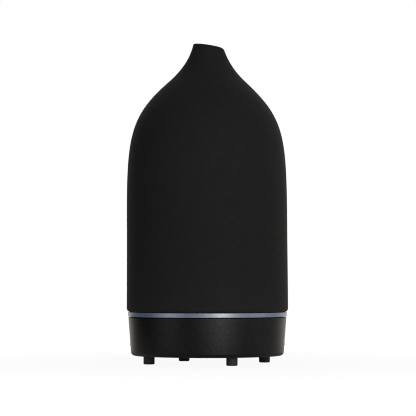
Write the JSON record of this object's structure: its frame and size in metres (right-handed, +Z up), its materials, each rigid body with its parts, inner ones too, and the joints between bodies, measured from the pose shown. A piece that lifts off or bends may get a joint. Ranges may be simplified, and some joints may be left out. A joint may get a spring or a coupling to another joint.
{
  "type": "essential oil diffuser",
  "caption": "Ultrasonic essential oil diffuser: bottle-shaped black ceramic cover over a water tank, frosted light ring, low round base with side buttons and a fan.",
  "frame": {"origin": "centre of the base on the plane the feet stand on", "axes": "+Z up, -Y towards the front, +X to the right as seen from the front; the mouth slopes down towards +X and the power socket is at +Y"},
  "size_m": [0.09, 0.09, 0.1787],
  "materials": {
    "black_ceramic": "unglazed matte ceramic with a fine grain",
    "frosted_ring": "frosted translucent",
    "tank_plastic": "moulded satin polypropylene",
    "seal_silicone": "milky silicone",
    "base_plastic": "moulded satin",
    "plate_plastic": "moulded fine texture",
    "foot_rubber": "matte rubber",
    "screw_steel": "zinc plated",
    "disc_metal": "satin metal with a silvered face",
    "stamped_steel": "stamped",
    "fan_plastic": "moulded",
    "bearing_bronze": "sintered bronze",
    "winding_copper": "enamelled copper wire",
    "ferrite": "pressed ferrite",
    "shaft_steel": "ground",
    "board_green": "solder mask over glass fibre",
    "board_white": "white solder mask",
    "led_lens": "phosphor in clear resin",
    "capacitor_sleeve": "shrink sleeve",
    "chip_black": "epoxy",
    "fin_aluminium": "extruded",
    "connector_nylon": "natural nylon",
    "jack_plastic": "moulded",
    "terminal_metal": "tin plated",
    "button_plastic": "moulded satin",
    "switch_case": "moulded",
    "wire_red": "insulated",
    "wire_black": "insulated",
    "wire_white": "insulated",
    "wire_yellow": "insulated"
  },
  "bodies": {
    "base": {"light_ring": "frosted_ring", "water_tank": "tank_plastic", "air_outlet_cap": "tank_plastic", "tank_gasket": "seal_silicone", "transducer_seal": "seal_silicone", "base_shell": "base_plastic", "bottom_plate": "plate_plastic", "rubber_feet": "foot_rubber", "case_screws": "screw_steel", "retainer_screws": "screw_steel", "fan_screws": "screw_steel", "board_screws": "screw_steel", "transducer_disc": "disc_metal", "transducer_retainer": "stamped_steel", "fan_frame": "fan_plastic", "fan_bearing": "bearing_bronze", "fan_stator": "stamped_steel", "fan_coils": "winding_copper", "main_board": "board_green", "mist_switch_board": "board_green", "light_switch_board": "board_green", "led_board": "board_white", "leds": "led_lens", "filter_capacitors": "capacitor_sleeve", "drive_coil": "winding_copper", "driver_transistor": "chip_black", "controller_chip": "chip_black", "heat_sink": "fin_aluminium", "wire_connectors": "connector_nylon", "dc_jack": "jack_plastic", "dc_jack_pin": "terminal_metal", "dc_jack_terminals": "terminal_metal", "mist_switch": "switch_case", "light_switch": "switch_case", "transducer_wires": "wire_red", "fan_wires": "wire_black", "led_wires": "wire_white", "switch_wires": "wire_yellow"},
    "cover": {"stone_cover": "black_ceramic"},
    "mist_button": {"mist_button_cap": "button_plastic", "mist_switch_plunger": "chip_black"},
    "light_button": {"light_button_cap": "button_plastic", "light_switch_plunger": "chip_black"},
    "fan": {"fan_rotor": "fan_plastic", "fan_magnet": "ferrite", "fan_shaft": "shaft_steel"}
  },
  "joints": [
    {"name": "cover_lift", "type": "slide", "parent": "base", "child": "cover", "axis": [0, 0, 1], "range_m": [0, 0.06]},
    {"name": "mist_button_press", "type": "slide", "parent": "base", "child": "mist_button", "axis": [-1, 0, 0], "range_m": [0, 0.0003]},
    {"name": "light_button_press", "type": "slide", "parent": "base", "child": "light_button", "axis": [1, 0, 0], "range_m": [0, 0.0003]},
    {"name": "fan_spin", "type": "hinge", "parent": "base", "child": "fan", "pos_m": [0, -0.021, 0.0119], "axis": [0, 0, 1], "continuous": true}
  ]
}
